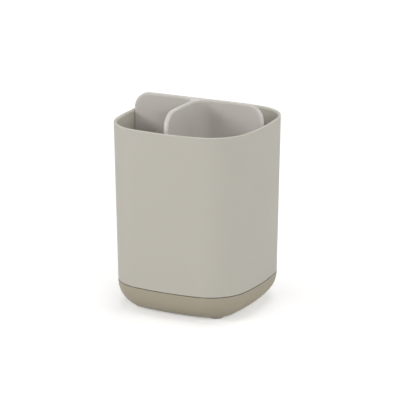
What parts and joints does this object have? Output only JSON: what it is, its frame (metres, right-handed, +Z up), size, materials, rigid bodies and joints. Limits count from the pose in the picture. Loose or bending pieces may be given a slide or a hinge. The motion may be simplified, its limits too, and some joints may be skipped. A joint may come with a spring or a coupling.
{
  "type": "toothbrush holder",
  "caption": "Free-standing toothbrush holder: tapered square sleeve with bowed sides on a dished, draining base, with a T-shaped divider that lifts out.",
  "frame": {"origin": "on the surface the holder stands on, midway between its sides", "axes": "+Z up, +X to the right along the front, +Y from the front to the back"},
  "size_m": [0.09, 0.09, 0.126],
  "materials": {
    "sleeve": "pale warm grey, fine matt moulded texture",
    "base": "taupe, fine matt moulded texture",
    "divider": "pale grey, satin moulded",
    "foot_pad": "soft matt elastomer"
  },
  "bodies": {
    "base": {"base_tray": "base", "foot_pad_front_left": "foot_pad", "foot_pad_front_right": "foot_pad", "foot_pad_rear_left": "foot_pad", "foot_pad_rear_right": "foot_pad"},
    "sleeve": {"outer_sleeve": "sleeve"},
    "divider": {"divider": "divider"}
  },
  "joints": [
    {"name": "sleeve_lift", "type": "slide", "parent": "base", "child": "sleeve", "axis": [0, 0, 1], "range_m": [0, 0.04]},
    {"name": "divider_lift", "type": "slide", "parent": "sleeve", "child": "divider", "axis": [0, 0, 1], "range_m": [0, 0.12]}
  ]
}
